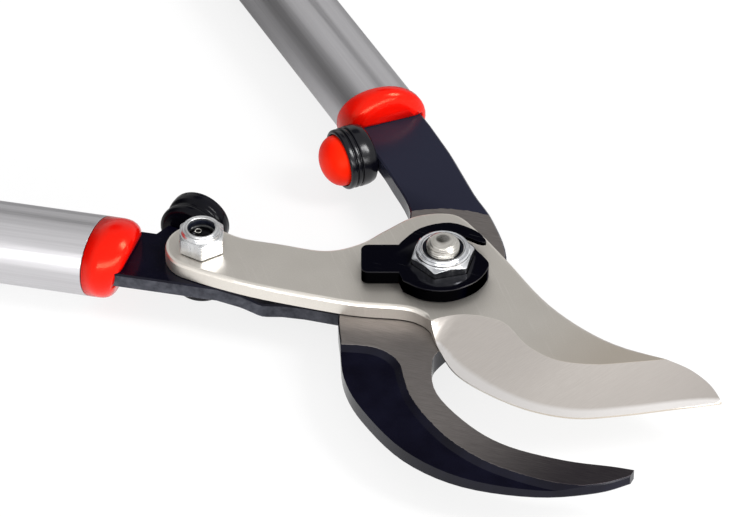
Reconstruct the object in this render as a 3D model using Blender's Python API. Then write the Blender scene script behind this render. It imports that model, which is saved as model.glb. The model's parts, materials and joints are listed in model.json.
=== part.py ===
"""Bypass lopper: a bolted cutting blade and a forged hook on two tubular handles.

Lengths are in metres. The origin is on the pivot axis, in the plane that the
lopper lies on: the underside of the pivot bolt's head and of both grips. +X
points from the pivot towards the jaws along the bisector of the handles, and
+Z is up. The handle with the hook lies on the +Y side. The jaws are open.
"""

import math

import bmesh
import bpy
from mathutils import Matrix, Vector

# Spacing of the grid on which the outlines of the blade, the forging, the arm and the lock are drawn
GRID = 0.001

# Clearances
GAP = 0.0003
RUNNING_GAP = 0.0001
LIFT = 0.004

# Handles
HANDLE_SPREAD = math.radians(25.7)
TUBE_R = 0.0125
TUBE_WALL = 0.0015
HANDLE_END = 0.600
HOOK_TUBE_START = 0.0836
HOOK_TUBE_OFFSET = 0.0203
BLADE_TUBE_START = 0.1050
BLADE_TUBE_OFFSET = 0.0062
TANG_REACH = 0.100
TANG_WIDTH = 0.016
TANG_POINT = 0.003
TANG_POINT_INSET = 0.002
RIVET_MARGIN = 0.015
RIVET_R = 0.0025
RIVET_HEAD_R = 0.0043
RIVET_HEAD_H = 0.0016
TUBE_SIDES = 40
ROUND_SIDES = 28
SMALL_SIDES = 20

# Flat arms: reach to each side of the tube's axis, and the step down of the blade's arm
HOOK_ARM_IN = 0.0102
HOOK_ARM_OUT = 0.0107
BLADE_ARM_IN = 0.0110
BLADE_ARM_OUT = 0.0103
ARM_SHOULDER = 0.0008
JOGGLE_LOW = 0.0512
JOGGLE_HIGH = 0.0625
JOGGLE_STEPS = 3
EYE_R = 0.0152
EYE_STEPS = 9

# Collars between tube and arm
COLLAR_FACE_R = 0.0086
COLLAR_STEPS = 6
HOOK_BAND = 0.0033
HOOK_SHOULDER = 0.0045
HOOK_BEAD = 0.0008
HOOK_CUT_SLANT = 0.0044
HOOK_CUT_TURN = math.radians(208)
HOOK_FRONT_SLANT = 0.0009
HOOK_FRONT_TURN = math.radians(180)
HOOK_SLOT_STEP = 0.0054
BLADE_BAND = 0.0038
BLADE_SHOULDER = 0.0052
BLADE_BEAD = 0.0
BLADE_CUT_SLANT = 0.0028
BLADE_CUT_TURN = math.radians(10)
BLADE_FRONT_SLANT = 0.0028
BLADE_FRONT_TURN = math.radians(289)
BLADE_SLOT_STEP = 0.0038
BEAD_RUN = 0.0006
SPIGOT_LENGTH = 0.018
SPIGOT_CHAMFER = 0.0006

# Grips and end caps
GRIP_LENGTH = 0.160
GRIP_EDGE = 0.0015
GRIP_PLAIN_END = 0.020
GRIP_GROOVES = 6
GROOVE_DEPTH = 0.0009
GROOVE_WIDTH = 0.0050
GROOVE_FLOOR = 0.0030
CAP_FLANGE = 0.0035
CAP_DOME = 0.0045
CAP_INSET = 0.0006
CAP_SPIGOT = 0.015
GRIP_SIDES = 26

# Stack of flat pieces on the pivot, from the ground up
HEAD_H = 0.0050
HEAD_R = 0.0100
ARM_T = 0.0052
WASHER_T = 0.0008
WASHER_R = 0.0100
HOOK_T = 0.0070
HOOK_ARM_T = 0.0060
HOOK_TIP_T = 0.0036
BLADE_T = 0.0050

# Pivot bolt, its nut and its lock
PIVOT_R = 0.0050
BUSH_WALL = 0.0016
PIVOT_NUT_AF = 0.017
PIVOT_NUT_H = 0.0080
PIVOT_NUT_HEX_H = 0.0062
PIVOT_NUT_COLLAR_R = 0.0083
PIVOT_NUT_POCKET_ROOM = 0.0015
PIVOT_NUT_RIM_ROOM = 0.0011
PIVOT_NUT_TURN = math.radians(52.4)
PIVOT_END = 0.0032
BOLT_DOME = 0.0024
BOLT_CHAMFER = 0.0008
HEAD_EDGE = 0.0010
HEAD_TOP_EDGE = 0.0004
LOCK_T = 0.0046
LOCK_ARM_T = 0.0014
LOCK_FLOOR = 0.0008
LOCK_EDGE = 0.0004
LOCK_TAB_REACH = 0.0245
LOCK_TAB_ROOT = 0.0132
LOCK_TAB_WIDTH = 0.0125
LOCK_TAB_CORNER = 0.0022
LOCK_TURN = math.radians(37.8)

# Bolt through the blade's tail
TAIL_S = 0.0732
TAIL_N = 0.0044
TAIL_BOLT_R = 0.0040
TAIL_HEAD_R = 0.0080
TAIL_HEAD_H = 0.0045
TAIL_NUT_AF = 0.013
TAIL_NUT_H = 0.0074
TAIL_NUT_HEX_H = 0.0058
TAIL_NUT_COLLAR_R = 0.0061
TAIL_NUT_POCKET_ROOM = 0.0010
TAIL_NUT_RIM_ROOM = 0.0002
TAIL_NUT_TURN = math.radians(7.8)
TAIL_BOLT_BELOW_RIM = 0.0040

# Both lock nuts
NUT_CHAMFER_SLOPE = 0.6
NUT_BASE_EDGE = 0.0002
NUT_COLLAR_FILLET = 0.0009
NUT_SIDES = 36
NYLON_T = 0.0018
RIM_T = 0.0005

# Bumpers
BUMPER_R = 0.0098
BUMPER_LENGTH = 0.0099
BUMPER_EDGE = 0.0018
BUMPER_RIM = 0.0006
BUMPER_GROOVE = 0.0008
BUMPER_GROOVE_WIDTH = 0.0007
BUMPER_GROOVES_AT = (0.0060, 0.0077)
INSERT_R = 0.0081
INSERT_SEAT = 0.0024
HOOK_INSERT_DOME = 0.0059
BLADE_INSERT_DOME = 0.0020
DOME_STEPS = 8
PIN_R = 0.0019
PIN_IN_ARM = 0.0060
PIN_IN_BUMPER = 0.0045
BUMPER_PAD_SHARE = 0.88
BUMPER_SEAT_SHARE = 0.6
HOOK_BUMPER_S = 0.0687
HOOK_BUMPER_N = 0.0093
HOOK_SEAT_START = 0.0738
HOOK_SEAT_RAMP = 0.0012
HOOK_BUMPER_TILT = 0.0
BLADE_BUMPER_S = 0.0810
BLADE_BUMPER_N = -0.0081
BLADE_BUMPER_TILT = math.radians(12)

# Blade edge
EDGE_T = 0.0006
TIP_T = 0.0009
BLADE_ROUND = 0.0011
TAIL_R = 0.0104
TAIL_ROUND_SHIFT = 0.0009

# Hook recess
RECESS_DEPTH = 0.0014
RECESS_RUN = 0.0021
ARM_ROUND = 0.0005
JAW_ROUND = 0.0001

# Heights that follow from the stack
WASHER_BOTTOM = HEAD_H + GAP
ARM_BOTTOM = WASHER_BOTTOM + WASHER_T + GAP
ARM_TOP = ARM_BOTTOM + ARM_T
HOOK_BOTTOM = ARM_TOP + GAP
HOOK_TOP = HOOK_BOTTOM + HOOK_T
BLADE_BOTTOM = HOOK_TOP + GAP
BLADE_TOP = BLADE_BOTTOM + BLADE_T
TAIL_ARM_TOP = BLADE_BOTTOM - GAP
TAIL_ARM_BOTTOM = TAIL_ARM_TOP - ARM_T
LOCK_BOTTOM = BLADE_TOP + GAP
PIVOT_NUT_BOTTOM = LOCK_BOTTOM + LOCK_FLOOR + GAP
TUBE_Z = HOOK_TOP - (HOOK_ARM_T + ARM_T) / 4
GRIP_R = TUBE_Z
SPIGOT_R = TUBE_R - TUBE_WALL - GAP

COLOURS = {
    "ground_steel": ((0.56, 0.55, 0.53), 0.32, 1.0),
    "black_paint": ((0.012, 0.012, 0.018), 0.18, 0.0),
    "zinc": ((0.70, 0.71, 0.73), 0.22, 1.0),
    "aluminium": ((0.66, 0.66, 0.67), 0.38, 1.0),
    "red_plastic": ((0.78, 0.030, 0.012), 0.25, 0.0),
    "black_rubber": ((0.012, 0.012, 0.014), 0.30, 0.0),
    "red_rubber": ((0.75, 0.022, 0.010), 0.38, 0.0),
    "black_grip": ((0.020, 0.020, 0.021), 0.60, 0.0),
    "nylon": ((0.10, 0.12, 0.16), 0.45, 0.0),
    "bronze": ((0.45, 0.30, 0.14), 0.40, 1.0),
}


def clear_scene():
    for obj in list(bpy.data.objects):
        bpy.data.objects.remove(obj, do_unlink=True)


def material(name):
    found = bpy.data.materials.get(name)
    if found:
        return found
    colour, rough, metal = COLOURS[name]
    mat = bpy.data.materials.new(name)
    mat.use_nodes = True
    shader = mat.node_tree.nodes["Principled BSDF"]
    shader.inputs["Base Color"].default_value = (*colour, 1.0)
    shader.inputs["Roughness"].default_value = rough
    shader.inputs["Metallic"].default_value = metal
    mat.diffuse_color = (*colour, 1.0)
    return mat


def add_object(name, bm, mat, sharp=35.0):
    """Turns a bmesh into an object whose faces point out, smooth below the sharp angle."""
    bmesh.ops.remove_doubles(bm, verts=bm.verts, dist=1e-6)
    bmesh.ops.recalc_face_normals(bm, faces=bm.faces)
    mesh = bpy.data.meshes.new(name)
    bm.to_mesh(mesh)
    bm.free()
    for face in mesh.polygons:
        face.use_smooth = True
    mesh.set_sharp_from_angle(angle=math.radians(sharp))
    obj = bpy.data.objects.new(name, mesh)
    bpy.context.scene.collection.objects.link(obj)
    mesh.materials.append(material(mat))
    return obj


def boolean(obj, other, operation="DIFFERENCE"):
    """Cuts obj with a hidden helper, or joins the helper to it."""
    other.hide_render = True
    other.display_type = "WIRE"
    other.parent = obj
    step = obj.modifiers.new(other.name, "BOOLEAN")
    step.operation = operation
    step.solver = "EXACT"
    step.object = other


def loft(rings):
    """A closed solid through rings of equal length, with a cap on each end."""
    bm = bmesh.new()
    rows = [[bm.verts.new(p) for p in ring] for ring in rings]
    for a, b in zip(rows, rows[1:]):
        for i in range(len(a)):
            j = (i + 1) % len(a)
            bm.faces.new((a[i], a[j], b[j], b[i]))
    bm.faces.new(rows[0])
    bm.faces.new(rows[-1])
    return bm


def lathe(profile, sides, frame, loop=False):
    """Turns (radius, height) points about the frame's z. A loop never meets the axis."""
    bm = bmesh.new()
    rows = []
    for r, h in profile:
        if r < 1e-9:
            rows.append([bm.verts.new(frame @ Vector((0, 0, h)))])
            continue
        turn = [2 * math.pi * k / sides for k in range(sides)]
        rows.append([bm.verts.new(frame @ Vector((r * math.cos(a), r * math.sin(a), h))) for a in turn])
    pairs = list(zip(rows, rows[1:])) + ([(rows[-1], rows[0])] if loop else [])
    for a, b in pairs:
        for k in range(sides):
            m = (k + 1) % sides
            corners = [a[k % len(a)], a[m % len(a)], b[m % len(b)], b[k % len(b)]]
            corners = list(dict.fromkeys(corners))
            if len(corners) > 2:
                bm.faces.new(corners)
    return bm


def spline(points, steps):
    """A smooth line through the points, with the given number of steps between each two."""
    out = []
    last = len(points) - 1
    for i in range(last):
        p0, p1 = points[max(i - 1, 0)], points[i]
        p2, p3 = points[i + 1], points[min(i + 2, last)]
        for k in range(steps):
            t = k / steps
            out.append(tuple(
                0.5 * (2 * b + (c - a) * t + (2 * a - 5 * b + 4 * c - d) * t * t
                       + (3 * b - a - 3 * c + d) * t ** 3)
                for a, b, c, d in zip(p0, p1, p2, p3)
            ))
    out.append(tuple(points[last]))
    return out


def smooth_step(x, low, high):
    t = min(max((x - low) / (high - low), 0.0), 1.0)
    return t * t * (3 - 2 * t)


class Handle:
    """Coordinates of one handle: s from the pivot along the tube, n outwards, z up."""

    def __init__(self, side, offset, start, arm_in, arm_out):
        self.side, self.offset, self.start = side, offset, start
        self.arm_in, self.arm_out = arm_in, arm_out
        self.along = Vector((-math.cos(HANDLE_SPREAD), side * math.sin(HANDLE_SPREAD), 0))
        self.out = Vector((math.sin(HANDLE_SPREAD), side * math.cos(HANDLE_SPREAD), 0))
        self.rivet_s = start + TANG_REACH - RIVET_MARGIN

    def at(self, s, n, z):
        return self.along * s + self.out * n + Vector((0, 0, z))

    def frame(self, s, n, z, axis, up=Vector((0, 0, 1))):
        """A frame at that place whose z runs along the given axis."""
        axis = axis.normalized()
        across = up.cross(axis).normalized()
        basis = Matrix((across, axis.cross(across), axis)).transposed().to_4x4()
        return Matrix.Translation(self.at(s, n, z)) @ basis

    def tube_frame(self, s=0.0):
        return self.frame(s, self.offset, TUBE_Z, self.along)

    def ring(self, radius, s, cut=None):
        """Points round the tube's axis on a slanted cut, from the outer side over the top."""
        out = []
        for k in range(TUBE_SIDES):
            q = 2 * math.pi * k / TUBE_SIDES
            shift = cut(q) if cut else 0.0
            out.append(self.at(s + shift, self.offset + radius * math.cos(q), TUBE_Z + radius * math.sin(q)))
        return out


HOOK_SIDE = Handle(1, HOOK_TUBE_OFFSET, HOOK_TUBE_START, HOOK_ARM_IN, HOOK_ARM_OUT)
BLADE_SIDE = Handle(-1, BLADE_TUBE_OFFSET, BLADE_TUBE_START, BLADE_ARM_IN, BLADE_ARM_OUT)


def slanted(amount, turn):
    """A cut across a tube that leans: how far it lies from its middle, at angle q round the tube."""
    return lambda q: amount * math.cos(q - turn)


def between(first, second, share):
    """The cut that lies that share of the way from the first cut to the second."""
    return lambda q: first(q) * (1 - share) + second(q) * share


def shell(rings):
    """A closed tube wall through rings, the last joined back to the first."""
    bm = bmesh.new()
    rows = [[bm.verts.new(p) for p in ring] for ring in rings]
    for a, b in zip(rows, rows[1:] + rows[:1]):
        for i in range(len(a)):
            j = (i + 1) % len(a)
            bm.faces.new((a[i], a[j], b[j], b[i]))
    return bm


def box(low, high, handle):
    """A box in a handle's coordinates."""
    rings = []
    for s in (low[0], high[0]):
        rings.append([
            handle.at(s, n, z)
            for n, z in ((low[1], low[2]), (high[1], low[2]), (high[1], high[2]), (low[1], high[2]))
        ])
    return loft(rings)


def cylinder(radius, z0, z1, centre=Vector((0, 0, 0)), sides=ROUND_SIDES):
    frame = Matrix.Translation(Vector((centre[0], centre[1], 0)))
    return lathe([(0, z0), (radius, z0), (radius, z1), (0, z1)], sides, frame)


def tube(name, handle, cut):
    s0, s1 = handle.start, HANDLE_END
    outer, inner = TUBE_R, TUBE_R - TUBE_WALL
    near = s0 + 2 * max(HOOK_CUT_SLANT, BLADE_CUT_SLANT)
    rings = [
        handle.ring(inner, s0, cut), handle.ring(outer, s0, cut), handle.ring(outer, near),
        handle.ring(outer, s1), handle.ring(inner, s1), handle.ring(inner, near),
    ]
    obj = add_object(name, shell(rings), "aluminium")
    hole = cylinder(RIVET_R + GAP, -LIFT, TUBE_Z + 2 * TUBE_R, handle.at(handle.rivet_s, handle.offset, 0))
    boolean(obj, add_object(name + "_rivet_hole", hole, "aluminium"))
    return obj


def collar(name, handle, cut, front, band, shoulder, bead):
    """Moulded plug: a band that stands out from the tube by the bead, a rounded shoulder and a spigot."""
    s0 = handle.start - GAP
    length = band + shoulder
    wide = TUBE_R + bead
    tail = handle.start + SPIGOT_LENGTH
    rings = [
        handle.ring(SPIGOT_R - SPIGOT_CHAMFER, tail), handle.ring(SPIGOT_R, tail - SPIGOT_CHAMFER),
        handle.ring(SPIGOT_R, s0, cut), handle.ring(TUBE_R + bead / 2, s0, cut),
    ]
    for k in range(COLLAR_STEPS + 1):
        a = math.pi / 2 * k / COLLAR_STEPS
        radius = COLLAR_FACE_R + (wide - COLLAR_FACE_R) * math.cos(a)
        if k == 0:
            share = BEAD_RUN / length
            rings.append(handle.ring(wide, s0 - length * share, between(cut, front, share)))
        share = (band + shoulder * math.sin(a)) / length
        rings.append(handle.ring(radius, s0 - length * share, between(cut, front, share)))
    return add_object(name, loft(rings), "red_plastic", 50)


def collar_slots(obj, handle, length, slot_step, low, high):
    """Cuts the mouth for the arm's full width and the longer slot for its tang."""
    step = handle.start - slot_step
    face = handle.start - length - 2 * LIFT
    back = handle.start + SPIGOT_LENGTH + LIFT
    tang = TANG_WIDTH / 2
    c = handle.offset
    mouth = ("_slot", face, step, handle.arm_in, handle.arm_out)
    deep = ("_tang_slot", step - LIFT, back, tang, tang)
    for label, s_low, s_high, inward, outward in (mouth, deep):
        corners = (s_low, c - inward - GAP, low - GAP), (s_high, c + outward + GAP, high + GAP)
        boolean(obj, add_object(obj.name + label, box(*corners, handle), "red_plastic"))


def rivet(name, handle):
    s = handle.rivet_s
    top = TUBE_R + GAP
    profile = [(0, -top - RIVET_HEAD_H)]
    for sign in (-1, 1):
        dome = []
        for k in range(1, 5):
            a = math.pi / 2 * k / 4
            dome.append((RIVET_HEAD_R * math.sin(a), sign * (top + RIVET_HEAD_H * math.cos(a))))
        dome.append((RIVET_R, sign * top))
        profile += dome if sign < 0 else dome[::-1]
    profile.append((0, top + RIVET_HEAD_H))
    frame = handle.frame(s, handle.offset, TUBE_Z, Vector((0, 0, 1)), Vector((1, 0, 0)))
    return add_object(name, lathe(profile, SMALL_SIDES, frame), "aluminium")


def grip(name, handle):
    """Sleeve on the tube's end with ring grooves and rounded ends."""
    s0, s1 = HANDLE_END - GRIP_LENGTH, HANDLE_END
    inner = TUBE_R + GAP
    profile = [(inner, s0), (GRIP_R - GRIP_EDGE, s0), (GRIP_R, s0 + GRIP_EDGE)]
    pitch = (GRIP_LENGTH - 2 * GRIP_PLAIN_END) / GRIP_GROOVES
    floor = GRIP_R - GROOVE_DEPTH
    for k in range(GRIP_GROOVES):
        middle = s0 + GRIP_PLAIN_END + (k + 0.5) * pitch
        profile += [(GRIP_R, middle - GROOVE_WIDTH / 2), (floor, middle - GROOVE_FLOOR / 2)]
        profile += [(floor, middle + GROOVE_FLOOR / 2), (GRIP_R, middle + GROOVE_WIDTH / 2)]
    profile += [(GRIP_R, s1 - GRIP_EDGE), (GRIP_R - GRIP_EDGE, s1), (inner, s1)]
    return add_object(name, lathe(profile, GRIP_SIDES, handle.tube_frame(), loop=True), "black_grip")


def end_cap(name, handle):
    s = HANDLE_END + GAP
    radius = GRIP_R - CAP_INSET
    profile = [(0, s - CAP_SPIGOT), (SPIGOT_R, s - CAP_SPIGOT), (SPIGOT_R, s), (radius, s)]
    profile.append((radius, s + CAP_FLANGE))
    for k in range(1, 6):
        a = math.pi / 2 * k / 6
        profile.append((radius * math.cos(a), s + CAP_FLANGE + CAP_DOME * math.sin(a)))
    profile.append((0, s + CAP_FLANGE + CAP_DOME))
    return add_object(name, lathe(profile, GRIP_SIDES, handle.tube_frame()), "red_plastic")


def bumper(prefix, handle, s, n, tilt, dome_height):
    """Rubber body with two ring grooves, a domed insert and the pin that holds it to the arm."""
    axis = -(handle.along * math.sin(tilt) + handle.out * math.cos(tilt))
    z = TAIL_ARM_TOP - ARM_T / 2
    frame = handle.frame(s, n, z, axis) @ Matrix.Translation((0, 0, GAP))
    length = BUMPER_LENGTH
    pocket = length - INSERT_SEAT
    hole = PIN_R + GAP
    body = [(0, PIN_IN_BUMPER + GAP), (hole, PIN_IN_BUMPER + GAP), (hole, 0)]
    for k in range(4):
        a = math.pi / 2 * k / 3
        body.append((BUMPER_R - BUMPER_EDGE * (1 - math.sin(a)), BUMPER_EDGE * (1 - math.cos(a))))
    for at in BUMPER_GROOVES_AT:
        for side, depth in ((-0.5, 0.0), (-0.2, BUMPER_GROOVE), (0.2, BUMPER_GROOVE), (0.5, 0.0)):
            body.append((BUMPER_R - depth, at + side * BUMPER_GROOVE_WIDTH))
    body += [(BUMPER_R, length - BUMPER_RIM), (BUMPER_R - BUMPER_RIM, length),
             (INSERT_R + GAP, length), (INSERT_R + GAP, pocket), (0, pocket)]
    add_object(prefix + "_bumper_body", lathe(body, ROUND_SIDES, frame), "black_rubber", 40)
    dome = [(0, pocket + GAP), (INSERT_R, pocket + GAP)]
    for k in range(DOME_STEPS):
        a = math.pi / 2 * k / DOME_STEPS
        dome.append((INSERT_R * math.cos(a), length + dome_height * math.sin(a)))
    dome.append((0, length + dome_height))
    add_object(prefix + "_bumper_insert", lathe(dome, ROUND_SIDES, frame), "red_rubber", 40)
    ends = (-PIN_IN_ARM, PIN_IN_BUMPER)
    pin = [(0, ends[0]), (PIN_R, ends[0]), (PIN_R, ends[1]), (0, ends[1])]
    add_object(prefix + "_bumper_pin", lathe(pin, SMALL_SIDES, frame), "zinc")
    drill = [(0, -PIN_IN_ARM - GAP), (hole, -PIN_IN_ARM - GAP), (hole, LIFT), (0, LIFT)]
    return add_object(prefix + "_bumper_drill", lathe(drill, SMALL_SIDES, frame), "zinc")


def hex_prism(af, turn, z0, z1, centre):
    radius = af / math.sqrt(3)
    rings = []
    for z in (z0, z1):
        rings.append([
            Vector((centre[0] + radius * math.cos(turn + math.pi / 3 * k),
                    centre[1] + radius * math.sin(turn + math.pi / 3 * k), z))
            for k in range(6)
        ])
    return loft(rings)


def lock_nut(name, centre, bottom, af, height, hex_h, collar_r, pocket, rim_r, thread_r, grip_r, turn):
    """Hexagon with chamfered corners, a round collar on top and a ring of nylon in the collar."""
    corner = af / math.sqrt(3)
    flat = af / 2
    bore = thread_r + GAP
    seat = height - RIM_T - NYLON_T - GAP
    drop = (corner - flat) * NUT_CHAMFER_SLOPE
    profile = [
        (bore, 0), (flat - NUT_BASE_EDGE, 0), (corner, drop), (corner, hex_h - drop), (flat, hex_h),
        (collar_r, hex_h),
    ]
    for k in range(4):
        a = math.pi / 2 * k / 3
        profile.append((collar_r - NUT_COLLAR_FILLET * (1 - math.cos(a)),
                        height - NUT_COLLAR_FILLET * (1 - math.sin(a))))
    lip = height - RIM_T
    profile += [(rim_r, height), (rim_r, lip), (pocket, lip), (pocket, seat), (bore, seat)]
    frame = Matrix.Translation((centre[0], centre[1], bottom)) @ Matrix.Rotation(turn, 4, "Z")
    obj = add_object(name, lathe(profile, NUT_SIDES, frame, loop=True), "zinc", 25)
    prism = hex_prism(af, turn, bottom - LIFT, bottom + height + LIFT, centre)
    boolean(obj, add_object(name + "_hexagon", prism, "zinc"), "INTERSECT")
    ring = [(grip_r, seat + GAP), (pocket - GAP, seat + GAP), (pocket - GAP, lip - GAP), (grip_r, lip - GAP)]
    add_object(name + "_insert", lathe(ring, ROUND_SIDES, frame, loop=True), "nylon")
    return obj


def headed_bolt(name, centre, bottom, head_r, head_h, shank_r, end, domed):
    """Round flat head below, plain shank, and a threaded end above that is domed or chamfered."""
    top = bottom + head_h
    profile = [(0, bottom), (head_r - HEAD_EDGE, bottom), (head_r, bottom + HEAD_EDGE),
               (head_r, top - HEAD_TOP_EDGE), (head_r - HEAD_TOP_EDGE, top), (shank_r, top)]
    if domed:
        flat = shank_r / 4
        for k in range(6):
            a = math.pi / 2 * k / 6
            profile.append((flat + (shank_r - flat) * math.cos(a), end - BOLT_DOME * (1 - math.sin(a))))
    else:
        profile += [(shank_r, end - BOLT_CHAMFER), (shank_r - BOLT_CHAMFER, end)]
    profile.append((0, end))
    frame = Matrix.Translation((centre[0], centre[1], 0))
    return add_object(name, lathe(profile, ROUND_SIDES, frame), "zinc")


def blade():
    """Flat plate with a rounded rim. One side is ground down to the cutting edge."""
    heel = (10.5, -19.9)
    meet = (75.5, 8.6)
    tip = (96.5, 7.1)
    tail = BLADE_SIDE.at(TAIL_S, TAIL_N, 0) / GRID
    near = spline([heel, (6.6, -19.1), (0.7, -20.5), (-10.3, -27.1), (-19.8, -31.6),
                   (-41.4, -40.2), (tail.x + 4.6, tail.y - 9.6)], 6)
    radius = TAIL_R / GRID
    start, turn, steps = math.radians(-66), math.radians(-182), 20
    middle = tail.x - TAIL_ROUND_SHIFT / GRID
    arc = [(middle + radius * math.cos(start + turn * k / steps),
            tail.y + radius * math.sin(start + turn * k / steps)) for k in range(1, steps)]
    far = spline([(middle - 3.0, tail.y + 10.0), (-58.0, -25.0), (-46.4, -20.0), (-33.7, -14.0),
                  (-27.6, -5.4), (-25.2, 4.5), (-21.8, 15.6), (-13.0, 23.2), (-2.0, 21.2),
                  (11.3, 16.4), (34.5, 7.4), (56.0, 4.9), meet], 6)
    flat = near[:-1] + arc + far
    point = spline([meet, (83.0, 10.2), (90.5, 9.7), tip], 5)
    edge = spline([tip, (86.3, -4.2), (76.3, -15.2), (66.5, -24.2), (54.1, -29.6), (40.0, -31.4),
                   (27.5, -30.2), (17.1, -24.6), heel], 7)
    ground = spline([heel, (17.0, -11.8), (28.0, -7.6), (39.5, -11.4), (50.0, -11.4), (60.0, -6.2),
                     (68.0, 1.2), meet], 5)

    bm = bmesh.new()
    vert = lambda p, z: bm.verts.new((p[0] * GRID, p[1] * GRID, z))
    outline = flat + point[1:] + edge[1:-1]
    low = [vert(p, BLADE_BOTTOM) for p in outline]
    count = len(flat)
    # The rim's rounding fades out where the ground face begins and ends.
    fade = [min(1.0, i / 4, (count - 1 - i) / 4) for i in range(count)]
    wall, rim, crown = [], [], []
    for i, p in enumerate(flat):
        before, after = outline[i - 1], outline[(i + 1) % len(outline)]
        d = Vector((after[0] - before[0], after[1] - before[1])).normalized()
        inward = Vector((d.y, -d.x))
        r = BLADE_ROUND / GRID * fade[i]
        wall.append(vert(p, BLADE_TOP - r * GRID))
        if fade[i] == 0:
            rim.append(wall[-1])
            crown.append(wall[-1])
            continue
        halfway = r * (1 - math.sqrt(0.5))
        rim.append(vert((p[0] + inward.x * halfway, p[1] + inward.y * halfway), BLADE_TOP - halfway * GRID))
        crown.append(vert((p[0] + inward.x * r, p[1] + inward.y * r), BLADE_TOP))

    def strip(a, b):
        for i in range(len(a) - 1):
            corners = list(dict.fromkeys((a[i], a[i + 1], b[i + 1], b[i])))
            if len(corners) > 2:
                bm.faces.new(corners)

    strip(low[:count], wall)
    strip(wall, rim)
    strip(rim, crown)
    # Back of the ground face: along the grinding line, then down the point's back to the tip.
    back_top = [crown[0]] + [vert(p, BLADE_TOP) for p in ground[1:-1]] + [crown[-1]]
    spine = point[1:]
    spine_top = [vert(p, BLADE_TOP + (BLADE_BOTTOM + TIP_T - BLADE_TOP) * ((k + 1) / len(spine)) ** 1.2)
                 for k, p in enumerate(spine)]
    front = edge[::-1]
    front_top = [crown[0]]
    drop = 7
    for k, p in enumerate(front[1:-1], 1):
        heel_height = (BLADE_T - EDGE_T) * (1 - smooth_step(k, 0, drop))
        tip_height = (TIP_T - EDGE_T) * smooth_step(k, len(front) - drop, len(front))
        front_top.append(vert(p, BLADE_BOTTOM + EDGE_T + heel_height + tip_height))
    front_top.append(spine_top[-1])
    bm.faces.new(crown[::-1] + back_top[1:-1])
    upper = back_top + spine_top
    grid_between(bm, upper, front_top)
    strip(low[count - 1:count + len(spine)], [wall[-1]] + spine_top)
    closing = low[count + len(spine) - 1:] + [low[0]]
    strip(closing, front_top[::-1])
    bm.faces.new(low)
    bm.normal_update()
    bmesh.ops.triangulate(bm, faces=[f for f in bm.faces if len(f.verts) > 4], ngon_method="EAR_CLIP")
    obj = add_object("cutting_blade", bm, "ground_steel", 30)
    pivot_hole = cylinder(PIVOT_R + GAP, 0, BLADE_TOP + LIFT)
    boolean(obj, add_object("blade_pivot_hole", pivot_hole, "ground_steel"))
    tail_hole = cylinder(TAIL_BOLT_R + GAP, 0, BLADE_TOP + LIFT, BLADE_SIDE.at(TAIL_S, TAIL_N, 0))
    boolean(obj, add_object("blade_tail_hole", tail_hole, "ground_steel"))
    return obj


def grid_between(bm, a, b):
    """Triangles between two rows of points that share their first and last point."""
    def lengths(row):
        out = [0.0]
        for p, q in zip(row, row[1:]):
            out.append(out[-1] + (q.co - p.co).length)
        return [v / out[-1] for v in out]
    u, v = lengths(a), lengths(b)
    i = j = 0
    while i < len(a) - 1 or j < len(b) - 1:
        step_a = j == len(b) - 1 or (i < len(a) - 1 and u[i + 1] <= v[j + 1])
        corners = (a[i], a[i + 1], b[j]) if step_a else (a[i], b[j + 1], b[j])
        if len(set(corners)) == 3:
            bm.faces.new(corners)
        i, j = (i + 1, j) if step_a else (i, j + 1)


def bar_section(a, b, bottom, top, round_a, round_b):
    """Cross-section between side a and side b of a forged bar, with its four edges eased."""
    across = (b - a).normalized()

    def p(origin, shift, z):
        q = origin + across * shift
        return Vector((q.x, q.y, z))

    return [
        p(a, round_a, top), p(b, -round_b, top), p(b, 0, top - round_b), p(b, 0, bottom + round_b),
        p(b, -round_b, bottom), p(a, round_a, bottom), p(a, 0, bottom + round_a), p(a, 0, top - round_a),
    ]


def arm_stations(handle, step):
    """The tang in the tube and the arm's full width in the collar, as (s, inner n, outer n)."""
    tang = TANG_WIDTH / 2
    end = handle.start + TANG_REACH
    shoulder = handle.start - step - 2 * GAP
    c = handle.offset
    return [
        (end, c - tang + TANG_POINT_INSET, c + tang - TANG_POINT_INSET),
        (end - TANG_POINT, c - tang, c + tang),
        (shoulder, c - tang, c + tang),
        (shoulder - ARM_SHOULDER, c - handle.arm_in, c + handle.arm_out),
    ]


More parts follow.
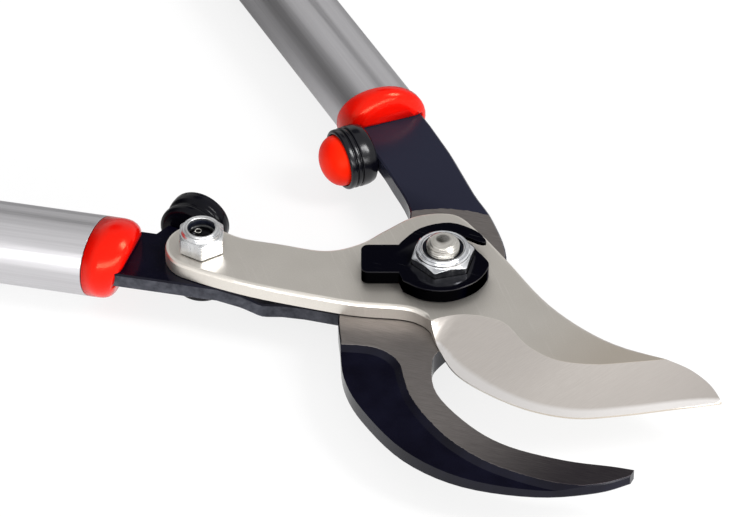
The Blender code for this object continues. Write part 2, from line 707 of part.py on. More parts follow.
def hook():
    """One forging: tang, arm, pivot eye and the hooked counter blade with its recess."""
    on_grid = lambda s, n: tuple((HOOK_SIDE.at(s, n, 0) / GRID).xy)
    outer = HOOK_TUBE_OFFSET + HOOK_ARM_OUT
    seat = HOOK_BUMPER_N
    pad = BUMPER_PAD_SHARE * BUMPER_R
    tang = arm_stations(HOOK_SIDE, HOOK_SLOT_STEP)
    tang.append((HOOK_SEAT_START + HOOK_SEAT_RAMP, HOOK_TUBE_OFFSET - HOOK_ARM_IN, outer))
    tang += [(HOOK_SEAT_START, seat, outer), (HOOK_BUMPER_S, seat, outer)]
    # Pairs of outline points: first the side that becomes the jaw, then the side that becomes the back.
    pairs = [
        (on_grid(HOOK_BUMPER_S - pad, 30.6 * GRID), on_grid(HOOK_BUMPER_S - pad, seat)),
        (on_grid(52.0 * GRID, 30.1 * GRID), on_grid(52.0 * GRID, 8.8 * GRID)),
        (on_grid(33.0 * GRID, 28.0 * GRID), on_grid(34.0 * GRID, 6.4 * GRID)),
        ((-6.0, 33.2), (-23.5, 8.0)),
        ((7.6, 22.0), (-21.0, -6.0)),
        ((16.5, 6.0), (-19.5, -20.0)),
        ((18.0, -10.0), (-16.5, -29.6)),
        ((17.2, -24.0), (-8.4, -39.2)),
        ((19.2, -30.6), (1.5, -50.0)),
        ((28.0, -39.8), (14.0, -57.4)),
        ((44.0, -44.8), (34.0, -63.6)),
        ((58.0, -44.9), (54.0, -62.6)),
        ((74.0, -39.8), (74.0, -53.8)),
        ((86.5, -33.4), (87.2, -42.4)),
        ((92.2, -30.8), (92.8, -33.6)),
    ]
    jaw = spline([p[0] for p in pairs], 5)
    back = spline([p[1] for p in pairs], 5)
    rings = []
    arm_bottom = HOOK_TOP - HOOK_ARM_T
    for s, n0, n1 in tang:
        a, b = HOOK_SIDE.at(s, n1, 0), HOOK_SIDE.at(s, n0, 0)
        rings.append(bar_section(a, b, arm_bottom, HOOK_TOP, ARM_ROUND, ARM_ROUND))
    total = len(jaw) - 1
    # Along the forging it thickens into the eye, its jaw edge sharpens, and it thins out to the tip.
    for k, (p, q) in enumerate(zip(jaw, back)):
        t = k / total
        thick = HOOK_ARM_T + (HOOK_T - HOOK_ARM_T) * smooth_step(t, 0.10, 0.24)
        thick += (HOOK_TIP_T - HOOK_T) * smooth_step(t, 0.62, 1.0)
        edge = ARM_ROUND + (JAW_ROUND - ARM_ROUND) * smooth_step(t, 0.35, 0.48)
        a, b = Vector((p[0] * GRID, p[1] * GRID, 0)), Vector((q[0] * GRID, q[1] * GRID, 0))
        rings.append(bar_section(a, b, HOOK_TOP - thick, HOOK_TOP, edge, ARM_ROUND))
    obj = add_object("hook", loft(rings), "black_paint", 30)
    boolean(obj, recess_cutter())
    eye = cylinder(PIVOT_R + RUNNING_GAP + BUSH_WALL + GAP, 0, HOOK_TOP + LIFT)
    boolean(obj, add_object("hook_eye", eye, "black_paint"))
    boolean(obj, tang_hole(HOOK_SIDE))
    return obj


def tang_hole(handle):
    """Cutter for the hole that the tube's rivet passes through in the tang."""
    middle = handle.at(handle.rivet_s, handle.offset, 0)
    name = "hook_tang_hole" if handle is HOOK_SIDE else "arm_tang_hole"
    return add_object(name, cylinder(RIVET_R + GAP, 0, HOOK_TOP + LIFT, middle, SMALL_SIDES), "black_paint")


def recess_cutter():
    """Lowers the hook's face behind the bare strip along the jaw, with a sloped step."""
    step = spline([(-14.0, -44.5), (-7.5, -39.8), (0.0, -35.3), (6.0, -34.3), (11.5, -36.0), (16.5, -40.3),
                   (23.0, -45.4), (34.0, -50.4), (46.0, -53.4), (60.0, -53.4), (78.0, -48.4), (90.0, -39.8),
                   (94.5, -30.0)], 5)
    outside = spline([(-18.0, -49.0), (-14.0, -52.0), (-11.0, -54.5), (-8.0, -57.0), (-4.0, -60.0),
                      (2.0, -64.0), (12.0, -69.0), (28.0, -74.0), (44.0, -74.5), (62.0, -70.0),
                      (84.0, -58.0), (98.0, -44.0), (104.0, -30.0)], 5)
    floor, roof = HOOK_TOP - RECESS_DEPTH, HOOK_TOP + LIFT
    run, back = RECESS_RUN, RECESS_RUN * LIFT / RECESS_DEPTH
    rings = []
    for k, (p, q) in enumerate(zip(step, outside)):
        before, after = step[max(k - 1, 0)], step[min(k + 1, len(step) - 1)]
        d = Vector((after[0] - before[0], after[1] - before[1])).normalized()
        normal = Vector((d.y, -d.x, 0))
        top = Vector((p[0] * GRID, p[1] * GRID, 0))
        far = Vector((q[0] * GRID, q[1] * GRID, 0))
        lip, toe = top - normal * back, top + normal * run
        rings.append([Vector((lip.x, lip.y, roof)), Vector((toe.x, toe.y, floor)),
                      Vector((far.x, far.y, floor)), Vector((far.x, far.y, roof))])
    return add_object("hook_recess", loft(rings), "black_paint")


def blade_arm():
    """Flat bar from the tube to the pivot. It steps down under the hook and ends in an eye."""
    top_high, top_low = TAIL_ARM_TOP, ARM_TOP
    outer = BLADE_TUBE_OFFSET + BLADE_ARM_OUT
    inner = BLADE_TUBE_OFFSET - BLADE_ARM_IN
    seat = lambda s: BLADE_BUMPER_N + math.tan(BLADE_BUMPER_TILT) * (BLADE_BUMPER_S - s)
    pad, boss = BUMPER_R * BUMPER_SEAT_SHARE, BUMPER_R * BUMPER_PAD_SHARE
    stations = arm_stations(BLADE_SIDE, BLADE_SLOT_STEP)
    stations += [
        (BLADE_BUMPER_S + boss, inner, outer),
        (BLADE_BUMPER_S + pad, seat(BLADE_BUMPER_S + pad), outer),
        (BLADE_BUMPER_S, BLADE_BUMPER_N, outer),
        (BLADE_BUMPER_S - pad, seat(BLADE_BUMPER_S - pad), outer),
        (BLADE_BUMPER_S - boss, -4.6 * GRID, outer), (66.0 * GRID, -3.6 * GRID, outer),
    ]
    waist = [(59.0, -3.6, 16.2), (55.5, -4.0, 14.2), (51.5, -4.6, 12.6), (47.0, -5.3, 11.7),
             (40.0, -6.4, 11.4), (28.0, -9.0, 12.0), (18.0, -11.8, 13.6)]
    stations += [tuple(v * GRID for v in station) for station in waist]
    # The eye's round end, from where the arm runs into it to its far side.
    for k in range(EYE_STEPS):
        a = math.radians(60 + 112 * k / (EYE_STEPS - 1))
        stations.append((EYE_R * math.cos(a), -EYE_R * math.sin(a), EYE_R * math.sin(a)))
    fine = []
    for (s, n0, n1), (t, m0, m1) in zip(stations, stations[1:]):
        parts = JOGGLE_STEPS if JOGGLE_LOW < t and s < JOGGLE_HIGH else 1
        for k in range(parts):
            u = k / parts
            fine.append((s + (t - s) * u, n0 + (m0 - n0) * u, n1 + (m1 - n1) * u))
    fine.append(stations[-1])
    rings = []
    for s, n0, n1 in fine:
        top = top_low + (top_high - top_low) * smooth_step(s, JOGGLE_LOW, JOGGLE_HIGH)
        rings.append(bar_section(BLADE_SIDE.at(s, n1, 0), BLADE_SIDE.at(s, n0, 0), top - ARM_T, top,
                                 ARM_ROUND, ARM_ROUND))
    obj = add_object("blade_arm", loft(rings), "black_paint", 30)
    boolean(obj, add_object("arm_eye", cylinder(PIVOT_R + GAP, 0, ARM_TOP + LIFT), "black_paint"))
    tail = BLADE_SIDE.at(TAIL_S, TAIL_N, 0)
    tail_hole = cylinder(TAIL_BOLT_R + GAP, 0, HOOK_TOP + LIFT, tail)
    boolean(obj, add_object("arm_tail_hole", tail_hole, "black_paint"))
    boolean(obj, tang_hole(BLADE_SIDE))
    return obj


def pivot_lock():
    """Lock plate round the nut: finger tab, thick near side, spring arm behind a slot on the far side."""
    reach, half, corner = LOCK_TAB_REACH / GRID, LOCK_TAB_WIDTH / 2 / GRID, LOCK_TAB_CORNER / GRID
    polar = lambda r, degrees: (r * math.cos(math.radians(degrees)), r * math.sin(math.radians(degrees)))
    near = [polar(r, a) for r, a in ((15.7, -140), (15.1, -112), (14.6, -80), (14.2, -45), (14.1, -14),
                                     (12.4, 2), (10.9, 18), (10.7, 40), (10.7, 70), (10.8, 92))]
    inside = [polar(r, a) for r, a in ((11.0, 96), (11.3, 90), (11.8, 65),
                                       (12.4, 48), (13.2, 36), (14.2, 31))]
    outside = [polar(r, a) for r, a in ((15.0, 30), (15.5, 34), (16.2, 52),
                                        (16.6, 82), (15.4, 116), (14.6, 151))]
    root = -LOCK_TAB_ROOT / GRID
    outline = [(root, -half)] + spline(near, 4) + spline(inside, 2) + spline(outside, 4) + [(root, half)]
    for cy, start in ((half - corner, 90), (corner - half, 180)):
        for k in range(5):
            x, y = polar(corner, start + 22.5 * k)
            outline.append((corner - reach + x, cy + y))
    turn = Matrix.Rotation(LOCK_TURN, 3, "Z")
    levels = (LOCK_BOTTOM, LOCK_BOTTOM + LOCK_T)
    rings = [[turn @ Vector((x * GRID, y * GRID, z)) for x, y in outline] for z in levels]
    obj = add_object("pivot_nut_lock", loft(rings), "black_paint", 50)
    ease = obj.modifiers.new("eased_edges", "BEVEL")
    ease.width = LOCK_EDGE
    ease.segments = 2
    ease.limit_method = "ANGLE"
    ease.angle_limit = math.radians(60)
    floor, roof = LOCK_BOTTOM + LOCK_FLOOR, BLADE_TOP + 2 * LOCK_T
    nut = hex_prism(PIVOT_NUT_AF + 2 * GAP, PIVOT_NUT_TURN, floor, roof, (0, 0))
    boolean(obj, add_object("lock_hexagon", nut, "black_paint"))
    bore = cylinder(PIVOT_R + GAP, BLADE_BOTTOM, roof)
    boolean(obj, add_object("lock_bore", bore, "black_paint"))
    # The spring arm is only as thick as a strip along the top.
    under = [polar(10.85, a) for a in (24, 43, 62, 81, 100)] + [polar(20, a) for a in (100, 62, 24)]
    levels = (BLADE_BOTTOM, LOCK_BOTTOM + LOCK_T - LOCK_ARM_T)
    rings = [[turn @ Vector((x * GRID, y * GRID, z)) for x, y in under] for z in levels]
    boolean(obj, add_object("lock_undercut", loft(rings), "black_paint"))
    return obj


def build():
    clear_scene()
    # Hook side
    hook_forging = hook()
    cut, front = slanted(HOOK_CUT_SLANT, HOOK_CUT_TURN), slanted(HOOK_FRONT_SLANT, HOOK_FRONT_TURN)
    tube("hook_tube", HOOK_SIDE, cut)
    plug = collar("hook_collar", HOOK_SIDE, cut, front, HOOK_BAND, HOOK_SHOULDER, HOOK_BEAD)
    length = HOOK_BAND + HOOK_SHOULDER
    collar_slots(plug, HOOK_SIDE, length, HOOK_SLOT_STEP, HOOK_TOP - HOOK_ARM_T, HOOK_TOP)
    rivet("hook_tube_rivet", HOOK_SIDE)
    grip("hook_grip", HOOK_SIDE)
    end_cap("hook_end_cap", HOOK_SIDE)
    boolean(hook_forging, bumper("hook", HOOK_SIDE, HOOK_BUMPER_S, HOOK_BUMPER_N, HOOK_BUMPER_TILT,
                                 HOOK_INSERT_DOME))
    bush_in, bush_out = PIVOT_R + RUNNING_GAP, PIVOT_R + RUNNING_GAP + BUSH_WALL
    bush = [(bush_in, HOOK_BOTTOM), (bush_out, HOOK_BOTTOM), (bush_out, HOOK_TOP), (bush_in, HOOK_TOP)]
    add_object("pivot_bush", lathe(bush, ROUND_SIDES, Matrix.Identity(4), loop=True), "bronze")

    # Blade side
    blade()
    arm = blade_arm()
    cut, front = slanted(BLADE_CUT_SLANT, BLADE_CUT_TURN), slanted(BLADE_FRONT_SLANT, BLADE_FRONT_TURN)
    tube("blade_tube", BLADE_SIDE, cut)
    plug = collar("blade_collar", BLADE_SIDE, cut, front, BLADE_BAND, BLADE_SHOULDER, BLADE_BEAD)
    length = BLADE_BAND + BLADE_SHOULDER
    collar_slots(plug, BLADE_SIDE, length, BLADE_SLOT_STEP, TAIL_ARM_BOTTOM, TAIL_ARM_TOP)
    rivet("blade_tube_rivet", BLADE_SIDE)
    grip("blade_grip", BLADE_SIDE)
    end_cap("blade_end_cap", BLADE_SIDE)
    boolean(arm, bumper("blade", BLADE_SIDE, BLADE_BUMPER_S, BLADE_BUMPER_N, BLADE_BUMPER_TILT,
                        BLADE_INSERT_DOME))

    # Pivot
    low, high = WASHER_BOTTOM, WASHER_BOTTOM + WASHER_T
    washer = [(PIVOT_R + GAP, low), (WASHER_R, low), (WASHER_R, high), (PIVOT_R + GAP, high)]
    add_object("pivot_washer", lathe(washer, ROUND_SIDES, Matrix.Identity(4), loop=True), "zinc")
    pivot_lock()
    centre = Vector((0, 0, 0))
    lock_nut("pivot_nut", centre, PIVOT_NUT_BOTTOM, PIVOT_NUT_AF, PIVOT_NUT_H, PIVOT_NUT_HEX_H,
             PIVOT_NUT_COLLAR_R, PIVOT_R + PIVOT_NUT_POCKET_ROOM, PIVOT_R + PIVOT_NUT_RIM_ROOM,
             PIVOT_R, PIVOT_R + GAP, PIVOT_NUT_TURN)
    headed_bolt("pivot_bolt", centre, 0.0, HEAD_R, HEAD_H, PIVOT_R,
                PIVOT_NUT_BOTTOM + PIVOT_NUT_H + PIVOT_END, True)

    # Tail of the blade
    tail = BLADE_SIDE.at(TAIL_S, TAIL_N, 0)
    head_bottom = TAIL_ARM_BOTTOM - GAP - TAIL_HEAD_H
    nut_bottom = BLADE_TOP + GAP
    lock_nut("tail_nut", tail, nut_bottom, TAIL_NUT_AF, TAIL_NUT_H, TAIL_NUT_HEX_H,
             TAIL_NUT_COLLAR_R, TAIL_BOLT_R + TAIL_NUT_POCKET_ROOM, TAIL_BOLT_R + TAIL_NUT_RIM_ROOM,
             TAIL_BOLT_R, TAIL_BOLT_R, TAIL_NUT_TURN)
    headed_bolt("tail_bolt", tail, head_bottom, TAIL_HEAD_R, TAIL_HEAD_H, TAIL_BOLT_R,
                nut_bottom + TAIL_NUT_H - TAIL_BOLT_BELOW_RIM, False)


build()
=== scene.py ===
"""Looks of a bypass lopper, built round its solids.

Lengths are in metres, in the frame of the solids: the origin is on the pivot axis in the plane
that the lopper lies on, +X points towards the jaws and +Z is up. The hook's handle is on the +Y
side. Each visible piece stands for one solid and rides with its body.
"""
import math

import bmesh
import bpy
from mathutils import Matrix, Vector
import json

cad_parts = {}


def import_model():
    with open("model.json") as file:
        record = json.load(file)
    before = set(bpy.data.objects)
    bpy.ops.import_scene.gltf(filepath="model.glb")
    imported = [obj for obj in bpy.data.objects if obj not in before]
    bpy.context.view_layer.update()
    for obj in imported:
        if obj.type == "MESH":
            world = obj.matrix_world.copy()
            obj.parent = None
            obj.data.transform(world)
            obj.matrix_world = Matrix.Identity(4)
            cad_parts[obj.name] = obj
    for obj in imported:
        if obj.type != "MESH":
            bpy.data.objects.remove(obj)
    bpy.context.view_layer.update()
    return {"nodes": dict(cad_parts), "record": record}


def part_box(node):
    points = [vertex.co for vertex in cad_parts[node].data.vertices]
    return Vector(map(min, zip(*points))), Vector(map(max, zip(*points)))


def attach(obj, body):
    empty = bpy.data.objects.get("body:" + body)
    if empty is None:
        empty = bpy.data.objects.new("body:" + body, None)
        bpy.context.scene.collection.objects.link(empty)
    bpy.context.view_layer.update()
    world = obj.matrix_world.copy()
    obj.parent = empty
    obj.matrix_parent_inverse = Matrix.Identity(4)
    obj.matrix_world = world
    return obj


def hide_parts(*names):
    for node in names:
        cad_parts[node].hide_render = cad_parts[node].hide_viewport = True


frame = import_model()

BODIES = frame["record"]["behaviour"]["bodies"]
BODY_OF = {node: body for body, nodes in BODIES.items() for node in nodes}

MM = 0.001
GAP = 0.3 * MM

# Heights of the stack, read from the solids
HOOK_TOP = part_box("hook")[1].z
BLADE_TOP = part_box("cutting_blade")[1].z
LOCK_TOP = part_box("pivot_nut_lock")[1].z
ARM_T = 5.2 * MM
ARM_MIDDLE = HOOK_TOP - ARM_T / 2

# Handles
HANDLE_SPREAD = math.radians(25.7)
HOOK_ALONG = math.pi - HANDLE_SPREAD
BLADE_ALONG = math.pi + HANDLE_SPREAD

# Welding of the solids' meshes, and how far their edges are eased
WELD = 2e-6
FLAT_WITHIN = math.radians(0.4)
EASE_SEGMENTS = 2
FLAT_FACE_WEIGHT = 80
PAINTED_EASE = 0.12 * MM
RING_EASE = 0.1 * MM
TUBE_EASE = 0.05 * MM

# Ground face of the blade: which faces it takes in, and the reach of its smoothing
GROUND_LEAST_UP = 0.932
GROUND_BELOW_TOP = 0.02 * MM
GROUND_FROM_X = 10 * MM
GROUND_SPREAD = 9 * MM
LEVEL_UP = 0.99999

# Turned pieces
TURNED_SIDES = 96
CORNER_SHARE = 0.45
HEAD_ROUND = 0.6 * MM

# Lock nuts, half their width across flats and the radii of collar, rim and bore
PIVOT_NUT = dict(flat=8.5 * MM, hexagon=6.2 * MM, collar=8.1 * MM, rim=6.1 * MM, bore=5.3 * MM,
                 turn=math.radians(52.4))
TAIL_NUT = dict(flat=6.5 * MM, hexagon=5.8 * MM, collar=6.0 * MM, rim=4.2 * MM, bore=4.3 * MM,
                turn=math.radians(7.8))
NUT_SIDES = 144
NUT_SHARP = 24
NUT_WEAR = 0.07 * MM
NUT_BLUNTED = 0.10 * MM
NUT_FOOT = 0.25 * MM
CHAMFER_SLOPE = 0.6
CHAMFER_DROP = 0.12 * MM
POCKET_DEPTH = 3.2 * MM
COLLAR_BAND = 1.0 * MM
ROLL_HEIGHT = 0.30 * MM
LIP_ROUND = 0.30 * MM
ROLL_STEPS = 8

# Bolts
PIVOT_BOLT_R = 5.0 * MM
PIVOT_HEAD_R = 10.0 * MM
PIVOT_HEAD_H = 5.0 * MM
DOME_H = 2.4 * MM
THREAD_FROM = 31.0 * MM
THREAD_PITCH = 0.85 * MM
THREAD_DEPTH = 0.3 * MM
THREAD_END = 0.75 * MM
THREAD_FADE = 0.4 * MM
THREAD_ROWS = 150
TAIL_BOLT_R = 4.0 * MM
TAIL_HEAD_R = 8.0 * MM
TAIL_HEAD_H = 4.5 * MM
TAIL_END_RISE = 1.5 * MM
TAIL_SUNK_BELOW = BLADE_TOP + 4.95 * MM
MARK_AT = (-1.0 * MM, 1.3 * MM)
MARK_ROUND = 0.12 * MM
MARK_SIDES = 32

# Bumpers: place along and beside each handle, and the tilt of their axis. A wall is a list of
# insets from the radius and heights above the arm's edge, in millimetres.
BUMPER_R = 9.8 * MM
BUMPER_LENGTH = 9.9 * MM
BUMPER_AT = {"hook": (68.7 * MM, 9.3 * MM, 0.0),
             "blade": (81.0 * MM, -8.1 * MM, math.radians(12))}
BUMPER_BORE_R = 2.2 * MM
BUMPER_BORE_DEPTH = 4.8 * MM
BUMPER_WALL = {
    "hook": ((2.1, 0), (0.5, 1.1), (0, 3.1), (0, 5.6), (0.7, 5.85), (0.7, 6.15), (0.1, 6.4),
             (0.1, 7.3), (0.7, 7.55), (0.7, 7.8), (0.15, 8.1)),
    "blade": ((1.1, 0), (0, 0.9), (0, 2.7), (0.9, 3.6), (0.9, 5.0), (0.1, 5.9), (0, 7.6),
              (0.1, 8.4)),
}
BUMPER_EASE = {"hook": 0.5 * MM, "blade": 0.8 * MM}
# Two copies of one rubber: the hook's higher gloss is a painted highlight, the blade's lower gloss
# painted shade.
BUMPER_GLOSS = {"hook": 0.36, "blade": 0.13}
INSERT_R = 8.1 * MM
INSERT_SEAT = 2.4 * MM
INSERT_DOME = {"hook": 5.9 * MM, "blade": 2.0 * MM}
INSERT_STEPS = 20

# Colours. A pair is the dark and the pale end of a finish.
PLATE = ((0.73, 0.69, 0.63), (0.81, 0.77, 0.71))
PLATE_GRAIN = (0.65, 0.615, 0.565)
PLATE_RUBBED = (0.86, 0.82, 0.77)
# The far-end colours are painted shade: the blade is drawn darker towards its tip.
PLATE_FAR_END_PAINTED_SHADE = (0.61, 0.54, 0.455)
BEVEL = ((0.62, 0.575, 0.535), (0.70, 0.655, 0.615))
BEVEL_FAR_END_PAINTED_SHADE = (0.44, 0.405, 0.38)
HONED_EDGE = (0.84, 0.81, 0.79)
PAINT = ((0.0012, 0.0010, 0.0045), (0.0035, 0.0035, 0.0100))
PAINT_SCUFF = (0.030, 0.030, 0.036)
# painted sheen on the hook's arm
PAINTED_SHEEN_ON_HOOK_ARM = (0.0160, 0.0170, 0.0300)
# Painted reflection: upright painted walls are drawn lighter, as the floor mirrored in them.
WALL_PAINTED_REFLECTION = ((0.014, 0.015, 0.021), (0.050, 0.052, 0.064))
ENAMEL = (0.0006, 0.0006, 0.0022)
ENAMEL_HAIRLINE = (0.05, 0.05, 0.055)
# painted shade for the lock plate's walls
ENAMEL_WALL_PAINTED_SHADE = (0.0012, 0.0012, 0.0016)
ENAMEL_TINT = (0.35, 0.35, 0.38)
BARE_STEEL = ((0.20, 0.180, 0.172), (0.31, 0.285, 0.272))
BARE_STEEL_TIP = ((0.032, 0.027, 0.033), (0.066, 0.058, 0.062))
ALUMINIUM = ((0.54, 0.53, 0.545), (0.62, 0.61, 0.625))
ALUMINIUM_CLOUD = (0.55, 0.54, 0.55)
BRIGHT_ZINC = ((0.54, 0.55, 0.57), (0.76, 0.77, 0.79))
PALE_ZINC = ((0.56, 0.57, 0.58), (0.72, 0.72, 0.72))
ZINC_KNOCK = (0.18, 0.18, 0.19)
THREAD = ((0.46, 0.44, 0.40), (0.66, 0.64, 0.60))
# painted shade for the bolt's end deep in its nut
SUNK_END_PAINTED_SHADE = (0.022, 0.022, 0.025)
RED_PLASTIC = ((0.57, 0.0018, 0.0003), (0.63, 0.0032, 0.0005))
RED_RUBBER = ((0.78, 0.0080, 0.0008), (0.86, 0.0180, 0.0020))
RED_GLOSS = (1.0, 0.66, 0.36)
BLACK_RUBBER = ((0.0008, 0.0008, 0.0022), (0.0022, 0.0022, 0.0048))
GRIP = ((0.012, 0.012, 0.013), (0.030, 0.030, 0.031))
NYLON = ((0.003, 0.004, 0.008), (0.010, 0.012, 0.020))
BRONZE = ((0.22, 0.13, 0.06), (0.50, 0.34, 0.17))
FLOOR = (0.90, 0.90, 0.90)
WHITE = (1.0, 1.0, 1.0)

# Camera, matched to the photograph
CAMERA_TILT = math.radians(49)
CAMERA_TURN = math.radians(37.8)
CAMERA_AT = (0.6049, -0.8154, 0.9113)
CAMERA_LENS = 218.9
CAMERA_REACH = 20
SENSOR = 36.0

# Studio. Sky patches are azimuth, elevation, outer and inner radius in degrees, and how much they
# dim the room. Softboxes are name, azimuth, elevation, distance, size and power.
ROOM_LEVEL = (0.71, 0.94)
ROOM_TURN = (-0.7, 0.8)
SKY_PATCHES = ((0, 41, 15, 8, 0.92), (-71, 7, 44, 14, 0.90))
SOFTBOXES = (("key_softbox", 113, 49, 1.3, (0.34, 0.60), 12),
             ("low_softbox", 172, 16, 1.5, (2.20, 0.38), 22))
FLOOR_SIZE = 6.0
FLOOR_DROP = 0.1 * MM
FLOOR_GLOW = 0.80
FLOOR_DIM_AWAY = (-0.3, 0.95)
FLOOR_DIM_FROM, FLOOR_DIM_TO, FLOOR_DIM_LEVEL = 0.05, 0.17, 0.15


# Node helpers

class Nodes:
    """Short names for the nodes that the materials and the world use."""

    def __init__(self, tree):
        self.tree = tree

    def add(self, kind, **settings):
        node = self.tree.nodes.new(kind)
        for key, value in settings.items():
            setattr(node, key, value)
        return node

    def put(self, value, socket):
        if isinstance(value, bpy.types.NodeSocket):
            self.tree.links.new(value, socket)
        elif isinstance(value, (tuple, list)) and len(value) == 3 and len(socket.default_value) == 4:
            socket.default_value = (*value, 1.0)
        else:
            socket.default_value = value

    def span(self, value, low, high, to_low=0.0, to_high=1.0, smooth=False):
        """Maps low to high on to to_low to to_high, clamped at both ends."""
        node = self.add("ShaderNodeMapRange", clamp=True)
        if smooth:
            node.interpolation_type = "SMOOTHSTEP"
        for socket, number in zip(node.inputs[:5], (value, low, high, to_low, to_high)):
            self.put(number, socket)
        return node.outputs["Result"]

    def math(self, operation, a, b=0.0):
        node = self.add("ShaderNodeMath", operation=operation)
        for socket, number in zip(node.inputs, (a, b)):
            self.put(number, socket)
        return node.outputs[0]

    def along(self, vector, direction):
        node = self.add("ShaderNodeVectorMath", operation="DOT_PRODUCT")
        self.put(vector, node.inputs[0])
        node.inputs[1].default_value = direction
        return node.outputs["Value"]

    def mix(self, share, a, b):
        node = self.add("ShaderNodeMix", data_type="RGBA")
        self.put(share, node.inputs["Factor"])
        self.put(a, node.inputs["A"])
        self.put(b, node.inputs["B"])
        return [s for s in node.outputs if s.type == "RGBA"][0]


class Look(Nodes):
    """A procedural material. Every pattern is laid out in metres, in the piece's own coordinates."""

    def __init__(self, name):
        self.mat = bpy.data.materials.new(name)
        self.mat.use_nodes = True
        super().__init__(self.mat.node_tree)
        self.shader = self.tree.nodes["Principled BSDF"]
        self.place = self.add("ShaderNodeTexCoord").outputs["Object"]

    def set(self, **sockets):
        """Fills the shader's sockets, a constant on the socket itself, and gives the material."""
        for key, value in sockets.items():
            self.put(value, self.shader.inputs[key.replace("_", " ")])
        return self.mat

    def noise(self, scale, detail=3.0, rough=0.5, at=None):
        node = self.add("ShaderNodeTexNoise")
        self.put(at or self.place, node.inputs["Vector"])
        node.inputs["Scale"].default_value = scale
        node.inputs["Detail"].default_value = detail
        node.inputs["Roughness"].default_value = rough
        return node.outputs["Fac"]

    def streaks(self, angle, stretch, detail=3, rough=0.5):
        """Noise drawn out along an angle about Z. stretch is its scale along, across and up."""
        turn = self.add("ShaderNodeVectorRotate", rotation_type="Z_AXIS")
        self.put(self.place, turn.inputs["Vector"])
        turn.inputs["Angle"].default_value = -angle
        scale = self.add("ShaderNodeVectorMath", operation="MULTIPLY")
        self.put(turn.outputs[0], scale.inputs[0])
        scale.inputs[1].default_value = stretch
        return self.noise(1.0, detail, rough, at=scale.outputs[0])

    def cells(self, scale, feature="F1"):
        node = self.add("ShaderNodeTexVoronoi", feature=feature)
        self.put(self.place, node.inputs["Vector"])
        node.inputs["Scale"].default_value = scale
        return node.outputs["Distance"]

    def axes(self, vector=None):
        node = self.add("ShaderNodeSeparateXYZ")
        self.put(vector or self.place, node.inputs[0])
        return node.outputs

    def upright(self):
        """The surface normal's share along Z."""
        return self.axes(self.add("ShaderNodeNewGeometry").outputs["Normal"])[2]

    def bump(self, height, depth, strength):
        node = self.add("ShaderNodeBump")
        node.inputs["Strength"].default_value = strength
        node.inputs["Distance"].default_value = depth
        self.put(height, node.inputs["Height"])
        return node.outputs[0]

    def tint(self, pattern, pair, low=0.3, high=0.7):
        """The dark colour of the pair where the pattern is low, the pale one where it is high."""
        return self.mix(self.span(pattern, low, high), *pair)

    def cover(self, base, pattern, colour, low, high, share=1.0):
        """Lays a colour over the base where the pattern is high."""
        return self.mix(self.span(pattern, low, high, 0, share), base, colour)

    def between(self, pattern, least, most, low=0.3, high=0.7):
        """A roughness that follows the pattern."""
        return self.span(pattern, low, high, least, most)


# Materials

def steel_look():
    """Blasted plate, a ground bevel whose fine lines cross the edge, and the bright honed edge. Plate
    and bevel are painted darker towards the far end, as painted shade.
    """
    look = Look("satin_blade_steel")
    x, y, z = look.axes()
    ground = look.math("MULTIPLY", look.math("LESS_THAN", z, BLADE_TOP - 0.03 * MM),
                       look.math("GREATER_THAN", x, 12 * MM))
    ground = look.math("MULTIPLY", ground, look.span(look.upright(), 0.80, 0.9))
    edge = look.span(z, BLADE_TOP - 3.9 * MM, BLADE_TOP - 3.6 * MM, 1, 0)
    honed = look.math("MULTIPLY", ground, edge)
    grain = look.noise(2600, 4, 0.7)
    rubbed = look.streaks(math.radians(-35), (55, 900, 100), detail=2)
    lines = look.streaks(math.radians(72), (120, 5200, 900), rough=0.7)
    plate = look.tint(look.noise(38, 4, 0.55), PLATE)
    plate = look.cover(plate, grain, PLATE_GRAIN, 0.35, 0.7, share=0.45)
    plate = look.cover(plate, rubbed, PLATE_RUBBED, 0.60, 0.72, share=0.35)
    # painted shade: the plate darkens towards the far end
    plate = look.cover(plate, x, PLATE_FAR_END_PAINTED_SHADE, 36 * MM, 62 * MM, share=0.8)
    bevel = look.tint(lines, BEVEL)
    # painted shade: the bevel darkens towards the far end
    bevel = look.cover(bevel, x, BEVEL_FAR_END_PAINTED_SHADE, 55 * MM, 95 * MM, share=0.85)
    colour = look.mix(honed, look.mix(ground, plate, bevel), HONED_EDGE)
    return look.set(Base_Color=colour, Metallic=1.0, Roughness=look.between(grain, 0.38, 0.48),
                    Normal=look.bump(look.mix(ground, grain, lines), 0.01 * MM, 0.35))


def paint_tone(look):
    """Near-black with a faint blue tone that drifts a little."""
    return look.tint(look.noise(90, 3), PAINT, low=0.35)


def paint_look():
    """Dipped black paint with small scuffs, drawn lighter on the upright walls as a painted reflection
    of the floor.
    """
    look = Look("black_dip_paint")
    scuff = look.streaks(math.radians(30), (260, 2600, 800), rough=0.6)
    colour = look.cover(paint_tone(look), scuff, PAINT_SCUFF, 0.66, 0.74, share=0.5)
    # painted reflection: the upright walls are drawn lighter than the tops
    wall = look.span(look.math("ABSOLUTE", look.upright()), 0.3, 0.6, 1, 0)
    wall_reflection = look.tint(look.noise(220, 4, 0.65), WALL_PAINTED_REFLECTION, 0.35, 0.65)
    return look.set(Base_Color=look.mix(wall, colour, wall_reflection), Specular_IOR_Level=0.20,
                    Roughness=look.between(look.noise(3200, 2, 0.6), 0.16, 0.26, 0.4, 0.8),
                    Normal=look.bump(look.noise(420, 2), 0.04 * MM, 0.25))


